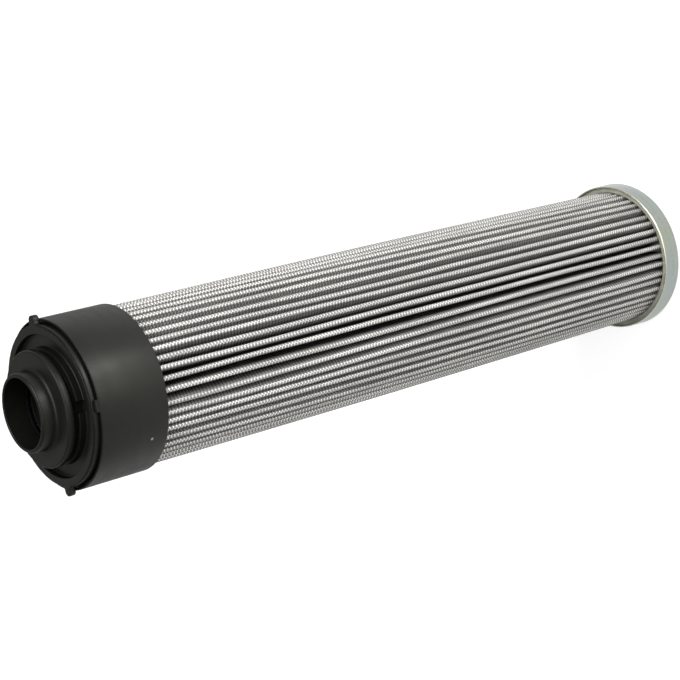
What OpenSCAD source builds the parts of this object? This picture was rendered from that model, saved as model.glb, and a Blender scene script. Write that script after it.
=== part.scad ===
// Cylindrical pleated filter element for hydraulic oil, standing on its closed steel end.
// Z is the element's axis. All sizes are in millimetres.

/* [Overall] */

// Height from the steel cap's flat face to the spigot's mouth
overall_h = 386.4; // [280:1:480]

/* [Spigot and hub] */

// Bore that takes the housing's outlet tube
bore_d = 31.5; // [28:0.5:33]

// Wall of the spigot round the bore
spigot_wall = 1.95; // [1.5:0.05:3]

// Length of the spigot above the hub's face
spigot_h = 7.2; // [5:0.1:12]

// Rounding of the spigot's mouth, outside
mouth_round = 1.2; // [0.3:0.1:1.4]

// Fillet where the spigot meets the hub's face
spigot_fillet = 1.6; // [0.6:0.1:2.4]

// Width of the hub's face, from the spigot to the hub's edge
hub_step = 8.5; // [7:0.1:9]

// Height of the hub's face above the skirt's front edge
hub_h = 9.15; // [8.5:0.05:12]

// Rounding of the hub's front edge
hub_round = 1.0; // [0.3:0.1:1.6]

// Thickness of the hub's flange, above its groove
flange_t = 3.3; // [2.5:0.1:4]

// Height of the groove round the hub
hub_groove_h = 2.7; // [1.5:0.1:3]

// Depth of the groove round the hub
hub_groove_depth = 2.6; // [1:0.1:3.5]

// Width of the notch in the collar below that groove
notch_w = 5.2; // [3:0.1:8]

/* [Ring and lugs] */

// Width of the raised ring
ring_w = 4.65; // [3.5:0.05:5]

// Height of the ring's face above the skirt's front edge
ring_h = 2.3; // [1.5:0.1:3]

// Width of the rebate at the ring's outer edge
rebate_w = 0.8; // [0.3:0.1:1.2]

// Height of that rebate
rebate_h = 0.4; // [0.2:0.1:0.8]

// Depth of the recess's floor below the skirt's front edge
recess_drop = 0.2; // [0:0.1:1.2]

// Width of a lug
lug_w = 4.6; // [3.5:0.1:7]

// Reach of a lug past the skirt
lug_reach = 1.9; // [0.6:0.1:3]

// Fillet where a lug leaves the ring
lug_fillet = 1.6; // [0.5:0.1:2.5]

// Width of a bridge from the ring to the skirt
bridge_w = 5.2; // [3:0.1:8]

// Height of a bridge above the skirt's front edge
bridge_h = 1.3; // [0.5:0.1:1.4]

/* [Skirt] */

// Height of the skirt
skirt_h = 33.6; // [20:0.1:50]

// Wall of the skirt
skirt_wall = 1.6; // [1.2:0.1:2.2]

// Gap between the pleats' crests and the skirt
skirt_gap = 0.35; // [0.2:0.05:0.8]

// Wall of the skirt's front lip, outside the groove
lip_wall = 0.7; // [0.6:0.1:1.2]

// Width of the groove between ring and lip
lip_groove_w = 0.85; // [0.7:0.05:1.6]

// Depth of the groove between ring and lip
lip_groove_depth = 2.2; // [1:0.1:2.4]

// Thickness of the moulded plate below the recess
plate_t = 3; // [2.6:0.1:4]

/* [Seal] */

// Thickness of the seal's round section
seal_section = 3; // [2.4:0.1:3.4]

// Part of the seal that stands into the bore
seal_squeeze = 0.5; // [0.3:0.05:0.8]

// Room for the seal along its groove
seal_room = 0.9; // [0.4:0.1:1.2]

// Depth of the seal's centre below the mouth
seal_depth = 12; // [11:0.1:14]

/* [Pleats] */

// Number of pleats
pleat_count = 48; // [40:1:52]

// Diameter over the pleats' crests
pleat_od = 73; // [68:0.5:82]

// Turn of the first crest from the bridges
pleat_turn = -2.6; // [-4:0.1:4]

// Width of a crest
crest_w = 2.7; // [2.6:0.05:3.4]

// Inner radius of the pack's fold at a valley
valley_fold = 0.06; // [0.04:0.01:0.1]

// Thickness of the outer support mesh
outer_mesh_t = 0.3; // [0.2:0.02:0.34]

// Thickness of the outer fleece
outer_fleece_t = 0.1; // [0.06:0.02:0.14]

// Thickness of the coarse filter layer
coarse_layer_t = 0.18; // [0.1:0.02:0.22]

// Thickness of the fine filter layer
fine_layer_t = 0.18; // [0.1:0.02:0.22]

// Thickness of the backing fleece
backing_fleece_t = 0.1; // [0.06:0.02:0.14]

// Thickness of the inner support mesh
inner_mesh_t = 0.2; // [0.14:0.02:0.24]

// Radial height of the bead that closes the pack's side seam
seam_h = 4; // [2:0.5:5]

/* [Core tube] */

// Wall of the core tube
core_wall = 0.8; // [0.6:0.05:1]

// Diameter of a hole in the core tube
core_hole_d = 7; // [4:0.5:8]

// Holes round one row of the core tube
core_holes_round = 8; // [4:2:10]

// Rows of holes along the core tube
core_rows = 14; // [6:1:16]

// Wall of the end cap's collar inside the core tube
collar_wall = 1.3; // [1:0.1:1.8]

// Overlap of that collar and the core tube
collar_h = 5; // [3:0.5:8]

/* [Adhesive] */

// Thickness of the adhesive under the pleats' ends
adhesive_t = 2; // [1.5:0.1:3]

// Height of the adhesive's rim round the pleats in the steel cap
adhesive_rim_h = 6.5; // [2:0.1:7]

/* [Steel cap] */

// Gap between the pleats' crests and the steel cap's lip
steel_gap = 2.7; // [1.6:0.1:3.2]

// Height of the steel cap
steel_cap_h = 10.9; // [10.5:0.1:16]

// Sheet thickness of the steel cap
steel_t = 0.9; // [0.7:0.05:1.2]

// Outer radius of the bend round the steel cap's base
steel_bend = 1.2; // [1.2:0.1:2.4]

// Taper of the steel cap's wall, on the radius
steel_taper = 0.2; // [0:0.05:0.5]

/* [Clearances] */

// Gap between round faces that lie close together
loose_gap = 0.1; // [0.05:0.01:0.15]

// Gap between the core tube and the pleats' inner folds
core_gap = 0.25; // [0.15:0.05:0.4]

/* [Hidden] */

$fn = 96;

// Overlap that makes a cut or a joint clean
bite = 0.5;

// Straight steps in the curve of a crest, outside and between the layers
face_steps = 8;
layer_steps = 4;

// Straight steps in the curve of a valley
valley_steps = 2;

// Radii
bore_r = bore_d / 2;
spigot_r = bore_r + spigot_wall;
hub_r = spigot_r + hub_step;
pleat_r = pleat_od / 2;
skirt_in_r = pleat_r + skirt_gap;
skirt_r = skirt_in_r + skirt_wall;
lip_in_r = skirt_r - lip_wall;
ring_out_r = lip_in_r - lip_groove_w;
ring_in_r = ring_out_r - ring_w;
collar_r = bore_r + collar_wall;
core_in_r = collar_r + loose_gap;
core_r = core_in_r + core_wall;
steel_lip_r = pleat_r + steel_gap + steel_t;
steel_r = steel_lip_r + steel_taper;

// Heights above the steel cap's flat face
hub_z = overall_h - spigot_h;
edge_z = hub_z - hub_h;
ring_z = edge_z + ring_h;
recess_z = edge_z - recess_drop;
plate_z = recess_z - plate_t;
skirt_bottom_z = edge_z - skirt_h;
groove_top_z = hub_z - flange_t;
collar_top_z = groove_top_z - hub_groove_h;
seal_z = overall_h - seal_depth;
pleat_bottom_z = steel_t + adhesive_t;
pleat_top_z = plate_z - adhesive_t;
pleat_len = pleat_top_z - pleat_bottom_z;
core_len = plate_z - steel_t;

// Seal and its groove
seal_groove_r = bore_r - seal_squeeze + seal_section + loose_gap;
seal_ring_r = bore_r - seal_squeeze + seal_section / 2;
seal_groove_w = seal_section + seal_room;

// Depth of each sheet's inner face, below the outer face of the pack
outer_mesh_depth = outer_mesh_t;
outer_fleece_depth = outer_mesh_depth + outer_fleece_t;
coarse_depth = outer_fleece_depth + coarse_layer_t;
fine_depth = coarse_depth + fine_layer_t;
backing_depth = fine_depth + backing_fleece_t;
pack_t = backing_depth + inner_mesh_t;

// Centres of the crests and valleys, and the tilt of the straight legs between them
crest_r = pleat_r - crest_w / 2;
valley_r = core_r + core_gap + valley_fold + pack_t;
half_pitch = 180 / pleat_count;
leg_run = crest_r - valley_r * cos(half_pitch);
leg_side = valley_r * sin(half_pitch);
leg_span = norm([leg_run, leg_side]);
leg_normal = 180 - atan2(leg_side, leg_run) - acos((crest_w / 2 + valley_fold) / leg_span);

// Seam bead inside the fold of one crest
seam_side = crest_w / 2 - pack_t - seam_h * tan(leg_normal - 90) - loose_gap / 2;

// Point at a distance and an angle from another point
function polar(centre, r, angle) = centre + r * [cos(angle), sin(angle)];

// Point i of the convex curve over crest k, a depth below the pack's outer face
function crest_point(k, i, steps, depth) =
    let (axis = 2 * half_pitch * k, swing = leg_normal * (2 * i / steps - 1))
    polar(polar([0, 0], crest_r, axis), crest_w / 2 - depth, axis + swing);

// Point i of the concave curve in the valley after crest k, at the same depth
function valley_point(k, i, depth) =
    let (axis = 2 * half_pitch * k + half_pitch,
        half_arc = leg_normal - half_pitch,
        swing = half_arc * (1 - 2 * i / valley_steps))
    polar(polar([0, 0], valley_r, axis), valley_fold + depth, axis + 180 + swing);

// Closed line round all the pleats, a depth below the pack's outer face
function pleat_line(depth, steps) = [
    for (k = [0 : pleat_count - 1], i = [0 : steps + valley_steps + 1])
        i <= steps ? crest_point(k, i, steps, depth) : valley_point(k, i - steps - 1, depth)
];

// One sheet of the pleated pack, between two depths
module pleated_sheet(outer_depth, inner_depth, outer_steps = layer_steps) {
    translate([0, 0, pleat_bottom_z])
        rotate([0, 0, pleat_turn])
            linear_extrude(pleat_len)
                difference() {
                    polygon(pleat_line(outer_depth, outer_steps));
                    polygon(pleat_line(inner_depth, layer_steps));
                }
}

// Rectangle of a revolved section, from radius and height to radius and height
module band(r0, z0, r1, z1) {
    translate([r0, z0])
        square([r1 - r0, z1 - z0]);
}

// The same with its outer upper corner rounded
module rounded_band(r0, z0, r1, z1, radius) {
    difference() {
        band(r0, z0, r1, z1);
        difference() {
            band(r1 - radius, z1 - radius, r1 + bite, z1 + bite);
            translate([r1 - radius, z1 - radius])
                circle(radius);
        }
    }
}

// Fillet between a wall on its left and a floor below it
module corner_fillet(r, z, radius) {
    difference() {
        band(r - bite, z - bite, r + radius, z + radius);
        translate([r + radius, z + radius])
            circle(radius);
    }
}

// Revolved section of the moulded end cap
module end_cap_section() {
    difference() {
        union() {
            band(skirt_in_r, skirt_bottom_z, skirt_r, recess_z);
            rounded_band(lip_in_r, plate_z, skirt_r, edge_z, lip_wall / 2);
            band(bore_r, plate_z, skirt_r, edge_z - lip_groove_depth);
            band(bore_r, plate_z, ring_out_r, recess_z);
            band(ring_in_r, plate_z, ring_out_r, ring_z - rebate_h);
            band(ring_in_r, plate_z, ring_out_r - rebate_w, ring_z);
            rounded_band(bore_r, plate_z, hub_r, hub_z, hub_round);
            rounded_band(bore_r, plate_z, spigot_r, overall_h, mouth_round);
            corner_fillet(spigot_r, hub_z, spigot_fillet);
            band(bore_r, plate_z - collar_h, collar_r, plate_z + bite);
        }
        band(ring_out_r, edge_z - lip_groove_depth, lip_in_r, ring_z);
        band(hub_r - hub_groove_depth, collar_top_z, hub_r + bite, groove_top_z);
        band(bore_r - bite, seal_z - seal_groove_w / 2, seal_groove_r, seal_z + seal_groove_w / 2);
    }
}

// Outline of a lug seen along the axis, pointing along X
module lug_outline() {
    tip_r = lug_w / 2;
    foot_w = lug_w + 2 * lug_fillet;
    translate([skirt_r + lug_reach - tip_r, 0])
        circle(tip_r);
    translate([ring_in_r + bite, -tip_r])
        square([skirt_r + lug_reach - tip_r - ring_in_r - bite, lug_w]);
    difference() {
        translate([ring_out_r - rebate_w - bite, -foot_w / 2])
            square([rebate_w + bite + lug_fillet, foot_w]);
        for (side = [-1, 1])
            translate([ring_out_r + lug_fillet, side * foot_w / 2])
                circle(lug_fillet);
    }
}

// Moulded end cap with skirt, ring, lugs, bridges, hub and spigot
module end_cap() {
    color("#26272a")
        difference() {
            union() {
                rotate_extrude()
                    end_cap_section();
                for (side = [90, 270])
                    rotate([0, 0, side])
                        translate([0, 0, edge_z - lip_wall / 2])
                            linear_extrude(ring_h + lip_wall / 2)
                                lug_outline();
                for (side = [0, 180])
                    rotate([0, 0, side])
                        translate([ring_out_r - bite, -bridge_w / 2, edge_z - lip_groove_depth - bite])
                            cube([lip_in_r - ring_out_r + bite + lip_wall / 2, bridge_w,
                                bite + lip_groove_depth + bridge_h]);
            }
            for (side = [0, 180])
                rotate([0, 0, side])
                    translate([hub_r - hub_groove_depth, -notch_w / 2, recess_z])
                        cube([hub_groove_depth + bite, notch_w, collar_top_z - recess_z + bite]);
        }
}

// Seal ring in the bore, where the housing's outlet tube enters
module bore_seal() {
    color("#151515")
        translate([0, 0, seal_z])
            rotate_extrude()
                translate([seal_ring_r, 0])
                    circle(seal_section / 2);
}

// Perforated core tube that holds the pleats off the flow space
module core_tube() {
    row_pitch = core_len / (core_rows + 1);
    hole_pitch = 360 / core_holes_round;
    color("#a7abaa")
        difference() {
            translate([0, 0, steel_t])
                cylinder(r = core_r, h = core_len);
            translate([0, 0, steel_t - bite])
                cylinder(r = core_in_r, h = core_len + 2 * bite);
            for (row = [1 : core_rows], i = [0 : core_holes_round - 1])
                rotate([0, 0, (i + (row % 2) / 2) * hole_pitch])
                    translate([core_in_r - 2 * bite, 0, steel_t + row * row_pitch])
                        rotate([0, 90, 0])
                            cylinder(d = core_hole_d, h = core_wall + 4 * bite);
        }
}

// Wire mesh on the pack's inner side
module inner_mesh() {
    color("#8f9493")
        pleated_sheet(backing_depth, pack_t);
}

// Fleece that carries the fine layer
module backing_fleece() {
    color("#e9e7df")
        pleated_sheet(fine_depth, backing_depth);
}

// Fine glass-fibre layer
module fine_layer() {
    color("#f2f1ec")
        pleated_sheet(coarse_depth, fine_depth);
}

// Coarse glass-fibre layer on the fine one's dirty side
module coarse_layer() {
    color("#f4f3ee")
        pleated_sheet(outer_fleece_depth, coarse_depth);
}

// Fleece under the outer mesh
module outer_fleece() {
    color("#dddad0")
        pleated_sheet(outer_mesh_depth, outer_fleece_depth);
}

// Wire mesh on the pack's outer side
module outer_mesh() {
    color("#c4c6c4")
        pleated_sheet(0, outer_mesh_depth, face_steps);
}

// Bead that closes the pack's side seam, inside the fold of one crest
module seam_bead() {
    color("#d8cfae")
        rotate([0, 0, pleat_turn])
            translate([crest_r - seam_h, -seam_side, pleat_bottom_z])
                cube([seam_h, 2 * seam_side, pleat_len]);
}

// Adhesive that bonds the pleats into the moulded end cap
module upper_adhesive() {
    color("#b9ad8a")
        translate([0, 0, pleat_top_z])
            rotate_extrude()
                band(core_r + loose_gap, 0, skirt_in_r - loose_gap, adhesive_t);
}

// Adhesive that bonds the pleats into the steel cap, with a rim round them
module lower_adhesive() {
    floor_r = min(steel_r - steel_bend, steel_lip_r - steel_t - loose_gap);
    color("#b9ad8a")
        rotate_extrude() {
            band(core_r + loose_gap, steel_t, floor_r, pleat_bottom_z);
            band(pleat_r + loose_gap, steel_t, floor_r, pleat_bottom_z + adhesive_rim_h);
        }
}

// Half section of a cup with a bend round its base and a tapered wall
module cup_section(base_r, lip_r, bend, bottom_z, top_z) {
    translate([base_r - bend, bottom_z + bend])
        circle(bend);
    band(0, bottom_z, base_r - bend, bottom_z + bend);
    polygon([[0, bottom_z + bend], [base_r, bottom_z + bend], [lip_r, top_z], [0, top_z]]);
}

// Pressed steel cap that closes the element's foot
module steel_cap() {
    color("#b3bab4")
        rotate_extrude()
            difference() {
                cup_section(steel_r, steel_lip_r, steel_bend, 0, steel_cap_h);
                cup_section(steel_r - steel_t, steel_lip_r - steel_t, steel_bend - steel_t,
                    steel_t, steel_cap_h + bite);
            }
}

end_cap();
bore_seal();
core_tube();
inner_mesh();
backing_fleece();
fine_layer();
coarse_layer();
outer_fleece();
outer_mesh();
seam_bead();
upper_adhesive();
lower_adhesive();
steel_cap();
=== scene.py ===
"""Looks of a pleated hydraulic filter element, built round its CAD frame.

Lengths are in millimetres until a mesh or a material is made, apart from the stage's, which are in metres.
"""
import math
import random

import bmesh
import bpy
from mathutils import Matrix, Vector


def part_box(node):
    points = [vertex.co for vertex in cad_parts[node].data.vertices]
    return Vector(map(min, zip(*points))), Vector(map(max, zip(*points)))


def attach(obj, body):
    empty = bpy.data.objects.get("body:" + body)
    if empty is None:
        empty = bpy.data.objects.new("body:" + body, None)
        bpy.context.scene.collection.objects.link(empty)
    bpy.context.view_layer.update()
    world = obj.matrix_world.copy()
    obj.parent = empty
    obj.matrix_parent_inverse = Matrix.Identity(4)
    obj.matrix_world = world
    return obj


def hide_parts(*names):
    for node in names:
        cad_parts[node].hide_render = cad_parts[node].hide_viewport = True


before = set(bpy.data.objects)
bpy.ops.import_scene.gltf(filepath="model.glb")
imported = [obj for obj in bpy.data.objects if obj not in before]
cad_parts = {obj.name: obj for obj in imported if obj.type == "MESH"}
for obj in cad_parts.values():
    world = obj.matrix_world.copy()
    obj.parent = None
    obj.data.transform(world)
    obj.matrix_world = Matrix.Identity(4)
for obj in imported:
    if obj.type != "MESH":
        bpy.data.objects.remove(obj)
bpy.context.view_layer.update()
MM = 0.001
TURN = 2 * math.pi

# Sizes of the frame, from its nodes' boxes

_, end_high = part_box("end_cap")
mesh_low, mesh_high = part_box("outer_mesh")
_, steel_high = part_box("steel_cap")
seal_low, seal_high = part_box("bore_seal")
_, core_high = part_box("core_tube")
MOUTH_Z = end_high.z / MM
SKIRT_R = end_high.x / MM
LUG_R = end_high.y / MM
PLEAT_R = mesh_high.x / MM
PLEAT_BOTTOM_Z = mesh_low.z / MM
PLEAT_TOP_Z = mesh_high.z / MM
STEEL_R = steel_high.x / MM
STEEL_H = steel_high.z / MM
SEAL_Z = (seal_low.z + seal_high.z) / 2 / MM
SEAL_R = seal_high.x / MM
SEAL_SECTION = (seal_high.z - seal_low.z) / MM
CORE_R = core_high.x / MM

# Sizes of the moulded end cap

BORE_R = 15.75
SPIGOT_R = 17.7
SPIGOT_H = 7.2
HUB_R = 26.2
HUB_H = 9.15
FLANGE_T = 3.3
HUB_GROOVE_H = 2.7
HUB_GROOVE_DEPTH = 2.6
RING_H = 2.7
RING_W = 4.1
REBATE_W = 0.8
REBATE_H = 0.4
LIP_GROOVE_W = 1.5
LIP_GROOVE_DEPTH = 2.2
LIP_WALL = 0.7
SKIRT_WALL = 1.6
SKIRT_H = 33.6
RECESS_DROP = 0.2
PLATE_T = 3.0
COLLAR_H = 5.0
COLLAR_R = 17.05
SEAL_GAP = 0.1
SEAL_GROOVE_HALF = 0.53 * SEAL_SECTION
HUB_Z = MOUTH_Z - SPIGOT_H
EDGE_Z = HUB_Z - HUB_H
RING_Z = EDGE_Z + RING_H
RECESS_Z = EDGE_Z - RECESS_DROP
PLATE_Z = RECESS_Z - PLATE_T
SKIRT_BOTTOM_Z = EDGE_Z - SKIRT_H
COLLAR_TOP_Z = HUB_Z - FLANGE_T - HUB_GROOVE_H
LIP_GROOVE_Z = EDGE_Z - LIP_GROOVE_DEPTH
LIP_IN_R = SKIRT_R - LIP_WALL
RING_OUT_R = LIP_IN_R - LIP_GROOVE_W
RING_IN_R = RING_OUT_R - RING_W

# Sizes of its notches, bridges and lugs, with how far each reaches into the moulding round it

NOTCH_W = 5.2
NOTCH_OVERCUT = 0.5
NOTCH_FLOOR = 0.02
BRIDGE_W = 5.2
BRIDGE_H = 1.3
BRIDGE_ROUNDING = 0.25
BRIDGE_IN_RING = 0.7
BRIDGE_IN_FLOOR = 0.5
BRIDGE_SETBACK = 0.45
LUG_W = 4.6
LUG_TURN = 1.4
LUG_FILLET = 1.6
LUG_ROUNDING = 1.0
LUG_IN_RING = 0.2
LUG_ROOT = 1.0
LUG_TIP_STEPS = 16
LUG_FILLET_STEPS = 6

# Pale speck on the skirt: its direction from the axis, its drop below the rim, and its reach

SPECK_WAY = (0.842, -0.54)
SPECK_DROP = 25.55
GATE_SPECK = (SKIRT_R * SPECK_WAY[0], SKIRT_R * SPECK_WAY[1], EDGE_Z - SPECK_DROP)
SPECK_CORE_R = 0.3
SPECK_R = 0.9

# Sizes of the steel cap

STEEL_T = 0.9
STEEL_BEND = 1.2
STEEL_TAPER = 0.2
STEEL_CENTRE_R = 0.5
# Height at the top of the lip over which a highlight is painted, and its blend
STEEL_LIP_HIGHLIGHT_H = 0.55
STEEL_LIP_HIGHLIGHT_BLEND = 0.3

# Sizes of the pleated pack: its pleats, and each sheet's thickness from the outside in

PLEATS = 48
CREST_W = 2.4
PLEAT_TURN = -2.6
VALLEY_FOLD = 0.06
CORE_GAP = 0.25
SHEET_T = {
    "outer_mesh": 0.3,
    "outer_fleece": 0.1,
    "coarse_layer": 0.18,
    "fine_layer": 0.18,
    "backing_fleece": 0.1,
    "inner_mesh": 0.2,
}
PACK_T = sum(SHEET_T.values())

# How the crests stray from their regular places: leans and waves in degrees, dips and swell in millimetres

PLEAT_SEED = 7
CREST_LEAN_DEG = 1.0
CREST_WAVE_DEG = 0.5
WAVE_TURNS = (1, 2, 3, 5)
WAVE_AT_ENDS = 0.2
WAVE_GROWTH = 6
CREST_DIP = 0.22
SWELL = 0.75
SWELL_AT_ENDS = 0.15

# Leans of the crests that face the camera, at the moulded end, in degrees

FRONT_LEANS = {3: 0.2, 2: 1.0, 1: 1.1, 0: 0.0, 47: -1.5, 46: -1.4}

# Points round a crest, down a leg and round a valley of a sheet, and rows of them up the pack

SEEN_STEPS = (14, 3, 2, 30)
HIDDEN_STEPS = (6, 2, 2, 14)
LEG_BUNCHING = 1.8

# Sizes of the wire weave, and how much of a wire's height is its round section

WIRE_PITCH = 0.885
ROW_PITCH = 1.9
WEFT_HALF = 0.43
WARP_HALF = 0.22
ROUND_SHARE = 0.45
# Depths below the crests over which shade is painted in the folds and on the crests' sides
FOLD_SHADE_DEPTH = 8.0
SIDE_SHADE_DEPTH = 2.0
CREST_LIGHT_DEPTH = 1.0

# How close, in metres, two heights or radii of a mesh count as one

SAME = 0.000001

# Facet angles, in degrees, under which a mesh is shaded smooth

SMOOTH_DEG = 32
SHEET_SMOOTH_DEG = 60
SEAL_SMOOTH_DEG = 80

# Stage, in metres: floor, camera, and lamps as azimuth, elevation, distance, size and watts

FLOOR_HALF = 6.0
FLOOR_DROP = 0.0002
FLOOR_COLOUR = 0.5
FLOOR_GLOW = 0.72
WORLD_STRENGTH = 0.3
CAMERA_PLACE = Vector((0.66248, 0.08692, 0.71850))
CAMERA_LOOK = Vector((-0.78839, -0.10950, -0.60535))
CAMERA_UP = Vector((0.02403, 0.97780, -0.20816))
CAMERA_LENS = 90.48
CAMERA_SENSOR = 36.0
CAMERA_REACH = 50.0
MIDDLE = Vector((0, 0, 0.19))
LAMPS = {
    "upper_softbox": (60, 50, 2.4, (1.3, 1.0), 50.0),
    "front_softbox": (0, 58, 2.4, (1.2, 1.0), 20.0),
    "far_softbox": (188, 37, 2.4, (1.2, 1.0), 1.2),
    "side_strip": (38, -6.5, 0.75, (0.17, 0.19), 2.6),
    "front_strip": (14, -6.5, 0.75, (0.2, 0.19), 1.0),
}


# Mesh helpers

def make_object(name, verts, faces, smooth_deg=SMOOTH_DEG):
    """A mesh object from points in millimetres, smooth except across edges sharper than the angle."""
    mesh = bpy.data.meshes.new(name)
    mesh.from_pydata([Vector(v) * MM for v in verts], [], faces)
    mesh.validate()
    work = bmesh.new()
    work.from_mesh(mesh)
    bmesh.ops.recalc_face_normals(work, faces=work.faces)
    work.to_mesh(mesh)
    work.free()
    shade(mesh, smooth_deg)
    obj = bpy.data.objects.new(name, mesh)
    bpy.context.scene.collection.objects.link(obj)
    return obj


def shade(mesh, smooth_deg):
    """Smooth shading with sharp edges over an angle in degrees."""
    for polygon in mesh.polygons:
        polygon.use_smooth = True
    mesh.set_sharp_from_angle(angle=math.radians(smooth_deg))


def rounded_profile(corners, steps):
    """Closed line of (radius, height) points, from corners given as (radius, height, rounding)."""
    points = []
    count = len(corners)
    for i, (r, z, rounding) in enumerate(corners):
        here = Vector((r, z))
        if rounding <= 0:
            points.append(here)
            continue
        back = (Vector(corners[i - 1][:2]) - here).normalized()
        on = (Vector(corners[(i + 1) % count][:2]) - here).normalized()
        half = back.angle(on) / 2
        reach = rounding / math.tan(half)
        start = here + back * reach
        end = here + on * reach
        centre = here + (back + on).normalized() * rounding / math.sin(half)
        spoke = start - centre
        swing = spoke.angle_signed(end - centre)
        for k in range(steps + 1):
            points.append(centre + Matrix.Rotation(-swing * k / steps, 2) @ spoke)
    return points


def revolved(name, corners, segments=256, steps=5, smooth_deg=SMOOTH_DEG):
    """A ring-shaped solid from the corners of its section."""
    profile = rounded_profile(corners, steps)
    count = len(profile)
    verts = []
    for s in range(segments):
        c = math.cos(TURN * s / segments)
        d = math.sin(TURN * s / segments)
        verts += [(p.x * c, p.x * d, p.y) for p in profile]
    faces = []
    for s in range(segments):
        t = (s + 1) % segments
        for i in range(count):
            j = (i + 1) % count
            faces.append((s * count + i, t * count + i, t * count + j, s * count + j))
    return make_object(name, verts, faces, smooth_deg)


def prism(name, outline, low_z, high_z, rounding=0.0):
    """A straight solid from a closed outline, with its rim edges rounded."""
    count = len(outline)
    verts = [(x, y, low_z) for x, y in outline] + [(x, y, high_z) for x, y in outline]
    faces = [tuple(range(count))[::-1], tuple(range(count, 2 * count))]
    faces += [(i, (i + 1) % count, count + (i + 1) % count, count + i) for i in range(count)]
    obj = make_object(name, verts, faces)
    if rounding > 0:
        work = bmesh.new()
        work.from_mesh(obj.data)
        rims = [e for e in work.edges if abs(e.verts[0].co.z - e.verts[1].co.z) < SAME]
        bmesh.ops.bevel(work, geom=rims, offset=rounding * MM, segments=3, profile=0.5,
                        affect="EDGES", clamp_overlap=True)
        work.to_mesh(obj.data)
        work.free()
    return obj


def strip_outline(low_x, high_x, width):
    """Outline of a rectangle that lies along X, centred on it."""
    return [(low_x, -width / 2), (high_x, -width / 2), (high_x, width / 2), (low_x, width / 2)]


def arc(x, y, radius, start, end, steps):
    """Points of an arc, with angles in degrees."""
    turns = [math.radians(start + (end - start) * i / steps) for i in range(steps + 1)]
    return [(x + radius * math.cos(a), y + radius * math.sin(a)) for a in turns]


def turned(obj, degrees):
    """The object turned about the element's axis."""
    obj.data.transform(Matrix.Rotation(math.radians(degrees), 4, "Z"))
    return obj


def combine(obj, other, operation):
    """Applies a boolean of another object and removes that one."""
    tool = obj.modifiers.new(operation, "BOOLEAN")
    tool.operation = operation
    tool.object = other
    tool.solver = "EXACT"
    bpy.context.view_layer.update()
    evaluated = obj.evaluated_get(bpy.context.evaluated_depsgraph_get())
    result = bpy.data.meshes.new_from_object(evaluated)
    obj.modifiers.clear()
    obj.data = result
    bpy.data.objects.remove(other)


# The moulded end cap

def end_cap_corners():
    """Section of the end cap: (radius, height, rounding) corners, from the bore's mouth outwards."""
    neck_r = HUB_R - HUB_GROOVE_DEPTH
    step_r = RING_OUT_R - REBATE_W
    inner_r = SKIRT_R - SKIRT_WALL
    groove_r = SEAL_R + SEAL_GAP
    return [
        (BORE_R, MOUTH_Z, 0.5),
        (SPIGOT_R, MOUTH_Z, 1.2),
        (SPIGOT_R, HUB_Z, 1.6),
        (HUB_R, HUB_Z, 1.0),
        (HUB_R, HUB_Z - FLANGE_T, 0.15),
        (neck_r, HUB_Z - FLANGE_T, 0.2),
        (neck_r, COLLAR_TOP_Z, 0.2),
        (HUB_R, COLLAR_TOP_Z, 0.2),
        (HUB_R, RECESS_Z, 0.5),
        (RING_IN_R, RECESS_Z, 0.5),
        (RING_IN_R, RING_Z, 0.25),
        (step_r, RING_Z, 0.12),
        (step_r, RING_Z - REBATE_H, 0.08),
        (RING_OUT_R, RING_Z - REBATE_H, 0.35),
        (RING_OUT_R, LIP_GROOVE_Z, 0.3),
        (LIP_IN_R, LIP_GROOVE_Z, 0.3),
        (LIP_IN_R, EDGE_Z, 0.15),
        (SKIRT_R, EDGE_Z, 0.5),
        (SKIRT_R, SKIRT_BOTTOM_Z, 0.3),
        (inner_r, SKIRT_BOTTOM_Z, 0.3),
        (inner_r, PLATE_Z, 0),
        (COLLAR_R, PLATE_Z, 0),
        (COLLAR_R, PLATE_Z - COLLAR_H, 0.3),
        (BORE_R, PLATE_Z - COLLAR_H, 0.3),
        (BORE_R, SEAL_Z - SEAL_GROOVE_HALF, 0.1),
        (groove_r, SEAL_Z - SEAL_GROOVE_HALF, 0),
        (groove_r, SEAL_Z + SEAL_GROOVE_HALF, 0),
        (BORE_R, SEAL_Z + SEAL_GROOVE_HALF, 0.1),
    ]


def lug_outline():
    """Outline of a lug that points along X, with fillets where it leaves the ring."""
    half = LUG_W / 2
    foot_x = RING_OUT_R - LUG_IN_RING
    root_x = RING_IN_R + LUG_ROOT
    side_y = half + LUG_FILLET
    tip = arc(LUG_R - half, 0, half, -90, 90, LUG_TIP_STEPS)
    left = arc(foot_x + LUG_FILLET, side_y, LUG_FILLET, 270, 180, LUG_FILLET_STEPS)
    right = arc(foot_x + LUG_FILLET, -side_y, LUG_FILLET, 180, 90, LUG_FILLET_STEPS)
    return tip + left + [(root_x, side_y), (root_x, -side_y)] + right


def bridge():
    """Bar that crosses the lip groove, from the ring to the skirt's rim."""
    outline = strip_outline(RING_OUT_R - BRIDGE_IN_RING, SKIRT_R - BRIDGE_SETBACK, BRIDGE_W)
    return prism("bridge", outline, LIP_GROOVE_Z - BRIDGE_IN_FLOOR, EDGE_Z + BRIDGE_H, BRIDGE_ROUNDING)


def notch():
    """Block that cuts the notch in the hub's collar."""
    outline = strip_outline(HUB_R - HUB_GROOVE_DEPTH, HUB_R + NOTCH_OVERCUT, NOTCH_W)
    return prism("notch", outline, RECESS_Z + NOTCH_FLOOR, COLLAR_TOP_Z + NOTCH_OVERCUT)


def lug():
    """Lug that stands out from the ring past the skirt."""
    return prism("lug", lug_outline(), EDGE_Z - LIP_WALL / 2, RING_Z, LUG_ROUNDING)


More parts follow.
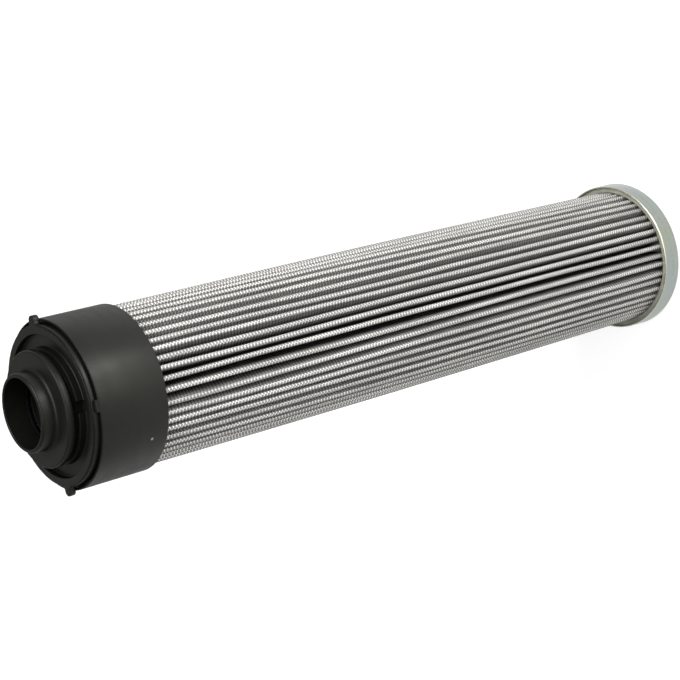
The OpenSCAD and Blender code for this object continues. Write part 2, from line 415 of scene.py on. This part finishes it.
def build_end_cap():
    """Skirt, ring, lugs, bridges, hub and spigot as one moulded piece."""
    cap = revolved("moulded_end_cap", end_cap_corners())
    for side in (0, 180):
        combine(cap, turned(bridge(), side), "UNION")
        combine(cap, turned(notch(), side), "DIFFERENCE")
    for side in (90, 270):
        combine(cap, turned(lug(), side + LUG_TURN), "UNION")
    shade(cap.data, SMOOTH_DEG)
    return cap


# The steel cap and the bore seal

def steel_cap_corners():
    """Section of the pressed cup, from a small hole at its centre."""
    wall_r = STEEL_R - STEEL_TAPER
    return [
        (STEEL_CENTRE_R, 0.0, 0),
        (STEEL_R, 0.0, STEEL_BEND),
        (wall_r, STEEL_H, 0.5),
        (wall_r - STEEL_T, STEEL_H, 0.3),
        (STEEL_R - STEEL_T, STEEL_T, STEEL_BEND - STEEL_T),
        (STEEL_CENTRE_R, STEEL_T, 0),
    ]


def build_steel_cap():
    """Pressed cup, whose small centre hole is closed by a flat face on each side."""
    cup = revolved("pressed_steel_cap", steel_cap_corners(), segments=192, steps=6)
    rim_r = STEEL_CENTRE_R * MM
    work = bmesh.new()
    work.from_mesh(cup.data)
    wall = [f for f in work.faces if all(abs(v.co.xy.length - rim_r) < SAME for v in f.verts)]
    bmesh.ops.delete(work, geom=wall, context="FACES")
    bmesh.ops.holes_fill(work, edges=[e for e in work.edges if e.is_boundary], sides=0)
    bmesh.ops.recalc_face_normals(work, faces=work.faces)
    work.to_mesh(cup.data)
    work.free()
    shade(cup.data, SMOOTH_DEG)
    return cup


def build_bore_seal(points=24):
    """Rubber ring of round section."""
    section_r = SEAL_SECTION / 2
    turns = [TURN * i / points for i in range(points)]
    corners = [(SEAL_R + section_r * (math.cos(a) - 1), SEAL_Z + section_r * math.sin(a), 0) for a in turns]
    return revolved("bore_seal_ring", corners, segments=160, steps=1, smooth_deg=SEAL_SMOOTH_DEG)


# The pleated pack

def random_waves():
    """Slow waves of one pleat along its length: sizes, phases and turns over the length."""
    return [(random.uniform(0.3, 1.0) / n, random.uniform(0, TURN), n * random.uniform(0.8, 1.2))
            for n in WAVE_TURNS]


random.seed(PLEAT_SEED)
WAVES = [random_waves() for _ in range(PLEATS)]
LEANS = [(random.uniform(-1, 1), random.uniform(-1, 1)) for _ in range(PLEATS)]
DIPS = [random.random() for _ in range(PLEATS)]


def share_up(z):
    """How far up the pleats a height is, from 0 at the steel cap to 1 at the moulded end."""
    return (z - PLEAT_BOTTOM_Z) / (PLEAT_TOP_Z - PLEAT_BOTTOM_Z)


def crest_turn(k, z):
    """Azimuth of crest k at a height, in radians: its regular place, a lean and slow waves."""
    share = share_up(z)
    foot = CREST_LEAN_DEG * LEANS[k][0]
    head = FRONT_LEANS.get(k, CREST_LEAN_DEG * LEANS[k][1])
    lean = foot + (head - foot) * (3 * share ** 2 - 2 * share ** 3)
    wave = sum(a * math.sin(TURN * n * share + phase) for a, phase, n in WAVES[k])
    held = min(1.0, WAVE_GROWTH * share + WAVE_AT_ENDS, WAVE_GROWTH * (1 - share) + WAVE_AT_ENDS)
    return math.radians(k * 360 / PLEATS + PLEAT_TURN + lean + CREST_WAVE_DEG * wave * held)


def swell(z):
    """How far the crests stand out past the pack's radius at a height: most half way up."""
    return SWELL_AT_ENDS + SWELL * math.sin(math.pi * share_up(z))


def polar(centre, radius, angle):
    """Point at a distance and an angle in radians from a centre."""
    return Vector((centre[0] + radius * math.cos(angle), centre[1] + radius * math.sin(angle)))


def pleat_line(depth, z, crest_steps, leg_steps, valley_steps):
    """Points round all the pleats at a height, a depth below the pack's outer face."""
    half_pitch = math.pi / PLEATS
    crest_r = CREST_W / 2
    valley_r = CORE_R + CORE_GAP + VALLEY_FOLD + PACK_T
    base_r = PLEAT_R + swell(z) - crest_r
    run = base_r - valley_r * math.cos(half_pitch)
    side = valley_r * math.sin(half_pitch)
    lean = math.acos((crest_r + VALLEY_FOLD) / math.hypot(run, side))
    normal = math.pi - math.atan2(side, run) - lean
    swing = normal - half_pitch
    turns = [crest_turn(k, z) for k in range(PLEATS)]
    centres = [polar((0, 0), base_r - CREST_DIP * DIPS[k], turns[k]) for k in range(PLEATS)]
    points = []
    for k in range(PLEATS):
        ahead = (k + 1) % PLEATS
        points += [polar(centres[k], crest_r - depth, turns[k] + normal * (2 * i / crest_steps - 1))
                   for i in range(crest_steps + 1)]
        valley_turn = (2 * k + 1) * half_pitch + math.radians(PLEAT_TURN)
        valley = polar((0, 0), valley_r, valley_turn)
        inward = valley_turn + math.pi
        fold = [polar(valley, VALLEY_FOLD + depth, inward + swing * (1 - 2 * i / valley_steps))
                for i in range(valley_steps + 1)]
        start = points[-1].copy()
        end = polar(centres[ahead], crest_r - depth, turns[ahead] - normal)
        points += [start.lerp(fold[0], (i / leg_steps) ** LEG_BUNCHING) for i in range(1, leg_steps)]
        points += fold
        points += [fold[-1].lerp(end, 1 - (1 - i / leg_steps) ** LEG_BUNCHING) for i in range(1, leg_steps)]
    return points


def sheet_faces(count, levels):
    """Faces of a sheet with so many points round: both walls between the levels, then both ends."""
    faces = []
    for i in range(levels):
        low = i * 2 * count
        high = low + 2 * count
        for j in range(count):
            n = (j + 1) % count
            faces.append((low + j, low + n, high + n, high + j))
            faces.append((low + count + n, low + count + j, high + count + j, high + count + n))
    top = levels * 2 * count
    for j in range(count):
        n = (j + 1) % count
        faces.append((j, count + j, count + n, n))
        faces.append((top + j, top + n, top + count + n, top + count + j))
    return faces


def map_weave(obj, line):
    """UV map in millimetres: along the line of the folds, and up."""
    count = len(line)
    along = [0.0]
    for j in range(count):
        along.append(along[-1] + (line[(j + 1) % count] - line[j]).length)
    layer = obj.data.uv_layers.new(name="weave")
    for polygon in obj.data.polygons:
        columns = [obj.data.loops[k].vertex_index % count for k in polygon.loop_indices]
        wraps = max(columns) == count - 1 and min(columns) == 0
        for k, column in zip(polygon.loop_indices, columns):
            place = count if wraps and column == 0 else column
            z = obj.data.vertices[obj.data.loops[k].vertex_index].co.z / MM
            layer.data[k].uv = (along[place], z)


def pleated_sheet(node, near, far):
    """One sheet of the pack as a closed solid, between two depths below the pack's outer face."""
    *round_steps, levels = SEEN_STEPS if node == "outer_mesh" else HIDDEN_STEPS
    heights = [PLEAT_BOTTOM_Z + (PLEAT_TOP_Z - PLEAT_BOTTOM_Z) * i / levels for i in range(levels + 1)]
    verts = []
    for z in heights:
        line = pleat_line(near, z, *round_steps) + pleat_line(far, z, *round_steps)
        verts += [(p.x, p.y, z) for p in line]
    middle = pleat_line(near, heights[levels // 2], *round_steps)
    faces = sheet_faces(len(middle), levels)
    obj = make_object("pleated_" + node, verts, faces, SHEET_SMOOTH_DEG)
    map_weave(obj, middle)
    return obj


# Materials

class Nodes:
    """A material's node tree, with short ways to add nodes."""

    def __init__(self, name):
        self.material = bpy.data.materials.new(name)
        self.material.use_nodes = True
        self.tree = self.material.node_tree
        self.shader = self.tree.nodes["Principled BSDF"]
        self.output = self.tree.nodes["Material Output"]

    def node(self, kind, **settings):
        made = self.tree.nodes.new(kind)
        for key, value in settings.items():
            setattr(made, key, value)
        return made

    def link(self, a, b):
        self.tree.links.new(a, b)

    def feed(self, socket, value):
        """Links a socket, or sets a number or a colour on it."""
        if isinstance(value, bpy.types.NodeSocket):
            self.link(value, socket)
        elif isinstance(value, tuple) and len(value) == 3:
            socket.default_value = (*value, 1.0)
        else:
            socket.default_value = value

    def set(self, **values):
        """Feeds the shader's inputs, named with _ for a space."""
        for key, value in values.items():
            self.feed(self.shader.inputs[key.replace("_", " ")], value)

    def math(self, operation, *values):
        made = self.node("ShaderNodeMath", operation=operation)
        for socket, value in zip(made.inputs, values):
            self.feed(socket, value)
        return made.outputs[0]

    def blend(self, a, b, share):
        """Sum of two values, with a share of the first and the rest of the second."""
        return self.math("ADD", self.math("MULTIPLY", a, share), self.math("MULTIPLY", b, 1.0 - share))

    def noise(self, vector, scale=1.0, detail=2.0, rough=0.5):
        made = self.node("ShaderNodeTexNoise")
        self.link(vector, made.inputs["Vector"])
        made.inputs["Scale"].default_value = scale
        made.inputs["Detail"].default_value = detail
        made.inputs["Roughness"].default_value = rough
        return made.outputs["Fac"]

    def ramp(self, value, low, high, to_low=0.0, to_high=1.0):
        """Value that runs smoothly from one end to the other between two limits."""
        made = self.node("ShaderNodeMapRange", interpolation_type="SMOOTHSTEP")
        for socket, number in zip(made.inputs, (value, low, high, to_low, to_high)):
            self.feed(socket, number)
        return made.outputs[0]

    def vary(self, noise, to_low=0.0, to_high=1.0):
        """Value that follows the middle range of a noise."""
        return self.ramp(noise, 0.3, 0.7, to_low, to_high)

    def mix(self, factor, a, b, blend_type="MIX"):
        made = self.node("ShaderNodeMix", data_type="RGBA", blend_type=blend_type)
        self.feed(made.inputs["Factor"], factor)
        self.feed(made.inputs[6], a)
        self.feed(made.inputs[7], b)
        return made.outputs[2]

    def darken(self, colour, shade):
        """Colour times a grey shade."""
        return self.mix(1.0, colour, shade, "MULTIPLY")

    def bump(self, height, distance, strength, normal=None):
        """Normal of a surface with a height on it, whose full step is a distance in millimetres."""
        made = self.node("ShaderNodeBump")
        made.inputs["Strength"].default_value = strength
        made.inputs["Distance"].default_value = distance * MM
        self.link(height, made.inputs["Height"])
        if normal is not None:
            self.link(normal, made.inputs["Normal"])
        return made.outputs["Normal"]

    def place(self):
        """Position in the part's frame, in metres."""
        return self.node("ShaderNodeTexCoord").outputs["Object"]

    def stretched(self, x, y, z):
        """Position with each axis scaled."""
        made = self.node("ShaderNodeMapping")
        made.inputs["Scale"].default_value = (x, y, z)
        self.link(self.place(), made.inputs["Vector"])
        return made.outputs["Vector"]

    def split(self, vector):
        made = self.node("ShaderNodeSeparateXYZ")
        self.link(vector, made.inputs[0])
        return made.outputs

    def radius(self):
        """Distance from the element's axis, in metres."""
        x, y, _ = self.split(self.place())
        return self.math("SQRT", self.math("ADD", self.math("MULTIPLY", x, x), self.math("MULTIPLY", y, y)))

    def below_crests(self, deeper, nearer, to_deeper, to_nearer):
        """Value that runs between two depths under the crests, in millimetres."""
        low = (PLEAT_R - deeper) * MM
        high = (PLEAT_R - nearer) * MM
        return self.ramp(self.radius(), low, high, to_deeper, to_nearer)

    def outward(self):
        """Direction from the element's axis, square to it."""
        x, y, _ = self.split(self.place())
        flat = self.node("ShaderNodeCombineXYZ")
        self.link(x, flat.inputs[0])
        self.link(y, flat.inputs[1])
        unit = self.node("ShaderNodeVectorMath", operation="NORMALIZE")
        self.link(flat.outputs[0], unit.inputs[0])
        return unit.outputs[0]

    def facing_out(self):
        """How far a surface faces away from the element's axis: 1 straight out, 0 square to that."""
        share = self.node("ShaderNodeVectorMath", operation="DOT_PRODUCT")
        self.link(self.node("ShaderNodeNewGeometry").outputs["Normal"], share.inputs[0])
        self.link(self.outward(), share.inputs[1])
        return share.outputs["Value"]

    def near(self, point, inner, outer, strength):
        """Spot round a point in millimetres: full strength inside one radius, nothing past the other."""
        gap = self.node("ShaderNodeVectorMath", operation="DISTANCE")
        self.link(self.place(), gap.inputs[0])
        gap.inputs[1].default_value = [c * MM for c in point]
        return self.ramp(gap.outputs["Value"], inner * MM, outer * MM, strength, 0.0)

    def grazing_gloss(self, low, high, to_low, to_high):
        """Gloss that changes towards a grazing view, 0 square on and 1 edge on."""
        weight = self.node("ShaderNodeLayerWeight")
        weight.inputs["Blend"].default_value = 0.5
        return self.ramp(weight.outputs["Facing"], low, high, to_low, to_high)


def wire(n, across, along, sign, half):
    """Heights of round wires that rise and dip over and under the crossing ones, and their crowns, where a
    highlight is painted.
    """
    cell = n.math("FLOOR", across)
    off = n.math("SUBTRACT", n.math("FRACT", across), 0.5)
    edge = n.math("DIVIDE", off, half)
    inside = n.math("SUBTRACT", 1.0, n.math("MULTIPLY", edge, edge))
    round_part = n.math("SQRT", n.math("MAXIMUM", inside, 0.0))
    turn = n.math("MULTIPLY", n.math("ADD", n.math("SUBTRACT", along, 0.5), cell), math.pi)
    rise = n.math("MULTIPLY_ADD", n.math("COSINE", turn), 0.5 * sign, 0.5)
    solid = n.math("GREATER_THAN", inside, 0.0)
    height = n.math("MULTIPLY", solid, n.blend(round_part, rise, ROUND_SHARE))
    middle = n.ramp(round_part, 0.25, 0.75)
    on_top = n.ramp(rise, 0.22, 0.62)
    return height, n.math("MULTIPLY", middle, on_top)


def weave(n):
    """Height of a plain weave in the sheet's UV map, and the crowns of its warp and its weft, where
    highlights are painted.
    """
    u, v, _ = n.split(n.node("ShaderNodeUVMap", uv_map="weave").outputs["UV"])
    drift = n.math("MULTIPLY", n.noise(n.place(), scale=24.0, detail=1.0), 1.8)
    wobble = n.math("MULTIPLY", n.noise(n.place(), scale=260.0, detail=1.0), 0.22)
    across = n.math("ADD", n.math("DIVIDE", u, ROW_PITCH), n.math("ADD", drift, wobble))
    along = n.math("ADD", n.math("DIVIDE", v, WIRE_PITCH), n.math("MULTIPLY", wobble, 0.6))
    warp, warp_crown_highlight = wire(n, across, along, 1, WARP_HALF)
    weft, weft_crown_highlight = wire(n, along, across, -1, WEFT_HALF)
    return n.math("MAXIMUM", warp, weft), warp_crown_highlight, weft_crown_highlight


def fold_shade(n, deep):
    """Shade of the folds: darker towards the core, and a little darker on the sides of the crests."""
    depth = n.below_crests(FOLD_SHADE_DEPTH, CREST_LIGHT_DEPTH, deep, 1.0)
    on_crest = n.below_crests(SIDE_SHADE_DEPTH, CREST_LIGHT_DEPTH, 0.0, 1.0)
    crest_side = n.ramp(n.facing_out(), -0.1, 0.4, 0.4, 0.0)
    return n.math("MULTIPLY", depth, n.math("SUBTRACT", 1.0, n.math("MULTIPLY", on_crest, crest_side)))


def wire_weave(name, bright, dim, gap, metallic, deep):
    """Plain weave of round wires: highlights painted on the crowns, shade painted on the wires' sides and in
    the gaps between them, and a painted shade deep in the folds.
    """
    n = Nodes(name)
    height, warp_crown_highlight, weft_crown_highlight = weave(n)
    # The gap colour is shade painted where the wires leave holes.
    covered = n.ramp(height, 0.05, 0.45)
    # Painted highlight and shade on the wires: the bright colour on their crowns, the dim colour on their
    # sides.
    wires = n.mix(n.math("MULTIPLY", warp_crown_highlight, 0.12), dim, bright)
    wires = n.mix(weft_crown_highlight, wires, bright)
    blotch = n.vary(n.noise(n.stretched(190, 190, 16), detail=3.0), to_low=0.72)
    # Shade painted in the folds, times random blotches of tone.
    painted_shade_and_blotch = n.math("MULTIPLY", fold_shade(n, deep), blotch)
    n.set(
        Base_Color=n.darken(n.mix(covered, gap, wires), painted_shade_and_blotch),
        Metallic=n.math("MULTIPLY", covered, metallic),
        Specular_IOR_Level=n.grazing_gloss(0.28, 0.62, 0.5, 0.0),
        Specular_Tint=(0.2, 0.2, 0.2),
        Roughness=n.vary(n.noise(n.place(), scale=300.0, detail=2.0), 0.34, 0.46),
        Normal=n.bump(height, 0.3, 0.9),
    )
    return n.material


def fleece(name, colour):
    """Felted fibres: soft mottled cloth with a fine fibre bump."""
    n = Nodes(name)
    fibres = n.noise(n.stretched(900, 900, 260), detail=4.0, rough=0.7)
    n.set(
        Base_Color=n.mix(n.vary(fibres), tuple(c * 0.72 for c in colour), colour),
        Roughness=0.9,
        Sheen_Weight=0.2,
        Normal=n.bump(fibres, 0.05, 0.6),
    )
    return n.material


def moulded_plastic(name):
    """Matte black moulded plastic: fine spark texture, faint flow marks and a pale gate speck."""
    n = Nodes(name)
    grain = n.noise(n.place(), scale=2600.0, detail=2.0, rough=0.6)
    flow = n.noise(n.stretched(60, 60, 240), detail=3.0)
    mottle = n.noise(n.place(), scale=46.0, detail=4.0, rough=0.6)
    base = n.mix(n.vary(mottle), (0.0038, 0.0038, 0.0034), (0.0065, 0.0065, 0.0058))
    n.set(
        Base_Color=n.mix(n.near(GATE_SPECK, SPECK_CORE_R, SPECK_R, 0.7), base, (0.45, 0.45, 0.42)),
        Roughness=n.vary(n.blend(flow, mottle, 0.5), 0.38, 0.47),
        Normal=n.bump(grain, 0.025, 0.5, n.bump(flow, 0.1, 0.25)),
        Specular_IOR_Level=n.grazing_gloss(0.45, 0.85, 0.225, 0.04),
        Specular_Tint=(1.0, 1.0, 0.9),
    )
    return n.material


def rubber(name):
    """Smooth black rubber with a faint bloom."""
    n = Nodes(name)
    bloom = n.noise(n.place(), scale=220.0, detail=3.0)
    n.set(
        Base_Color=n.mix(n.ramp(bloom, 0.35, 0.75), (0.002, 0.002, 0.002), (0.004, 0.004, 0.004)),
        Roughness=n.vary(bloom, 0.5, 0.65),
        Normal=n.bump(n.noise(n.place(), scale=1800.0), 0.01, 0.4),
        Specular_IOR_Level=0.02,
    )
    return n.material


def zinc_plate(name, green, blue, edge, rough):
    """Zinc-plated sheet: cool tints that drift round it, draw lines, a satin bump, and a highlight painted
    in the edge colour at the height of the cup's lip and above.
    """
    n = Nodes(name)
    drift = n.noise(n.stretched(26, 26, 9), detail=2.0)
    lines = n.noise(n.stretched(14, 14, 2600), detail=2.0, rough=0.6)
    spots = n.noise(n.place(), scale=520.0, detail=3.0)
    tint = n.mix(n.ramp(drift, 0.36, 0.64), green, blue)
    dull = n.darken(tint, n.vary(n.blend(lines, spots, 0.6), to_low=0.88))
    _, _, z = n.split(n.place())
    # Painted highlight: the top of the lip is mixed to the edge colour.
    lip_highlight_z = STEEL_H - STEEL_LIP_HIGHLIGHT_H
    lip_highlight = n.ramp(z, lip_highlight_z * MM, (lip_highlight_z + STEEL_LIP_HIGHLIGHT_BLEND) * MM)
    n.set(
        Base_Color=n.mix(lip_highlight, dull, edge),
        Metallic=1.0,
        Roughness=n.vary(n.blend(lines, spots, 0.5), rough - 0.06, rough + 0.08),
        Normal=n.bump(lines, 0.008, 0.5, n.bump(spots, 0.01, 0.4)),
    )
    return n.material


def resin(name, colour):
    """Set resin: glossy, slightly uneven, with small pits."""
    n = Nodes(name)
    cloud = n.noise(n.place(), scale=120.0, detail=3.0)
    n.set(
        Base_Color=n.mix(n.vary(cloud), tuple(c * 0.7 for c in colour), colour),
        Roughness=0.35,
        Normal=n.bump(n.noise(n.place(), scale=700.0, detail=3.0), 0.08, 0.5),
    )
    return n.material


def white_floor(name):
    """Pale floor that keeps the object's shadow, and reads as the white background past it."""
    n = Nodes(name)
    n.set(Base_Color=(FLOOR_COLOUR, FLOOR_COLOUR, FLOOR_COLOUR), Roughness=0.9, Specular_IOR_Level=0.0)
    glow = n.node("ShaderNodeEmission")
    glow.inputs["Color"].default_value = (1, 1, 1, 1)
    path = n.node("ShaderNodeLightPath")
    reflected = n.math("MAXIMUM", path.outputs["Is Glossy Ray"], path.outputs["Is Transmission Ray"])
    seen = n.math("MAXIMUM", path.outputs["Is Camera Ray"], reflected)
    n.link(n.math("MULTIPLY", seen, FLOOR_GLOW), glow.inputs["Strength"])
    both = n.node("ShaderNodeAddShader")
    n.link(n.shader.outputs[0], both.inputs[0])
    n.link(glow.outputs[0], both.inputs[1])
    n.link(both.outputs[0], n.output.inputs["Surface"])
    return n.material


# Dressing the pieces

def dress(obj, material, node):
    """Gives a piece its material, hides the CAD node it stands for, and lets it ride on the root body."""
    obj.data.materials.clear()
    obj.data.materials.append(material)
    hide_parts(node)
    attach(obj, "root")


def dress_node(node, material):
    """Gives a CAD node that stays its material."""
    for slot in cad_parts[node].material_slots:
        slot.material = material


def dress_caps():
    """The moulded end cap, the steel cap and the seal in the bore."""
    dress(build_end_cap(), moulded_plastic("moulded_black"), "end_cap")
    # The edge colour is the cream highlight painted along the top of the lip.
    zinc = zinc_plate("zinc_plate", green=(0.305, 0.322, 0.276), blue=(0.298, 0.333, 0.321),
                      edge=(0.7, 0.68, 0.54), rough=0.32)
    dress(build_steel_cap(), zinc, "steel_cap")
    dress(build_bore_seal(), rubber("seal_rubber"), "bore_seal")


def dress_pack():
    """The six pleated sheets, from the outside in."""
    looks = {
        # For both weaves: bright is a highlight painted on the wires' crowns, dim is shade painted on their
        # sides, gap is shade painted between the wires, and deep is the shade painted at the bottom of the
        # folds.
        "outer_mesh": wire_weave("bright_weave", bright=(0.84, 0.826, 0.798), dim=(0.23, 0.226, 0.214),
                                 gap=(0.04, 0.04, 0.038), metallic=0.5, deep=0.28),
        "outer_fleece": fleece("outer_fleece_cloth", (0.6, 0.59, 0.56)),
        "coarse_layer": fleece("coarse_fibre", (0.82, 0.81, 0.78)),
        "fine_layer": fleece("fine_fibre", (0.85, 0.85, 0.82)),
        "backing_fleece": fleece("backing_cloth", (0.78, 0.77, 0.73)),
        "inner_mesh": wire_weave("inner_weave", bright=(0.5, 0.5, 0.49), dim=(0.15, 0.15, 0.14),
                                 gap=(0.03, 0.03, 0.03), metallic=0.8, deep=0.4),
    }
    depth = 0.0
    for node, thickness in SHEET_T.items():
        dress(pleated_sheet(node, depth, depth + thickness), looks[node], node)
        depth += thickness


def dress_kept_nodes():
    """The CAD nodes that stay: core tube, seam bead and resin discs."""
    plate = zinc_plate("core_plate", green=(0.5, 0.51, 0.49), blue=(0.5, 0.52, 0.52),
                       edge=(0.5, 0.51, 0.5), rough=0.42)
    dress_node("core_tube", plate)
    dress_node("seam_bead", resin("seam_resin", (0.5, 0.43, 0.27)))
    dark_resin = resin("potting_resin", (0.32, 0.325, 0.265))
    for node in ("upper_adhesive", "lower_adhesive"):
        dress_node(node, dark_resin)


# Floor, camera, lamps and world

def build_floor():
    """Square floor, just under the element's foot."""
    signs = [(-1, -1), (1, -1), (1, 1), (-1, 1)]
    mesh = bpy.data.meshes.new("floor")
    mesh.from_pydata([(x * FLOOR_HALF, y * FLOOR_HALF, 0) for x, y in signs], [], [(0, 1, 2, 3)])
    floor = bpy.data.objects.new("floor", mesh)
    floor.location.z = -FLOOR_DROP
    bpy.context.scene.collection.objects.link(floor)
    floor.data.materials.append(white_floor("floor_white"))


def facing(place, look, up):
    """World matrix of a camera or lamp at a place that looks along a direction."""
    back = -look.normalized()
    right = up.cross(back).normalized()
    top = back.cross(right)
    turn = Matrix((right, top, back)).transposed().to_4x4()
    return Matrix.Translation(place) @ turn


def build_camera():
    """Camera at the photograph's viewing angle."""
    data = bpy.data.cameras.new("camera")
    data.lens = CAMERA_LENS
    data.sensor_width = CAMERA_SENSOR
    data.clip_end = CAMERA_REACH
    camera = bpy.data.objects.new("camera", data)
    camera.matrix_world = facing(CAMERA_PLACE, CAMERA_LOOK, CAMERA_UP)
    bpy.context.scene.collection.objects.link(camera)
    bpy.context.scene.camera = camera


def softbox(name, azimuth, elevation, distance, size, watts):
    """A soft lamp that faces the element's middle, placed by its azimuth and elevation in degrees."""
    data = bpy.data.lights.new(name, "AREA")
    data.shape = "RECTANGLE"
    data.size = size[0]
    data.size_y = size[1]
    data.energy = watts
    lamp = bpy.data.objects.new(name, data)
    level = math.cos(math.radians(elevation))
    turn = math.radians(azimuth)
    way = Vector((level * math.cos(turn), level * math.sin(turn), math.sin(math.radians(elevation))))
    lamp.matrix_world = facing(MIDDLE + way * distance, -way, Vector((0, 0, 1)))
    bpy.context.scene.collection.objects.link(lamp)


def build_world():
    """Even white light from all round."""
    world = bpy.data.worlds.new("studio")
    bpy.context.scene.world = world
    world.use_nodes = True
    backdrop = world.node_tree.nodes["Background"]
    backdrop.inputs["Color"].default_value = (1, 1, 1, 1)
    backdrop.inputs["Strength"].default_value = WORLD_STRENGTH


dress_caps()
dress_pack()
dress_kept_nodes()
build_floor()
build_camera()
for lamp_name, lamp_settings in LAMPS.items():
    softbox(lamp_name, *lamp_settings)
build_world()
bpy.context.scene.view_settings.view_transform = "Standard"
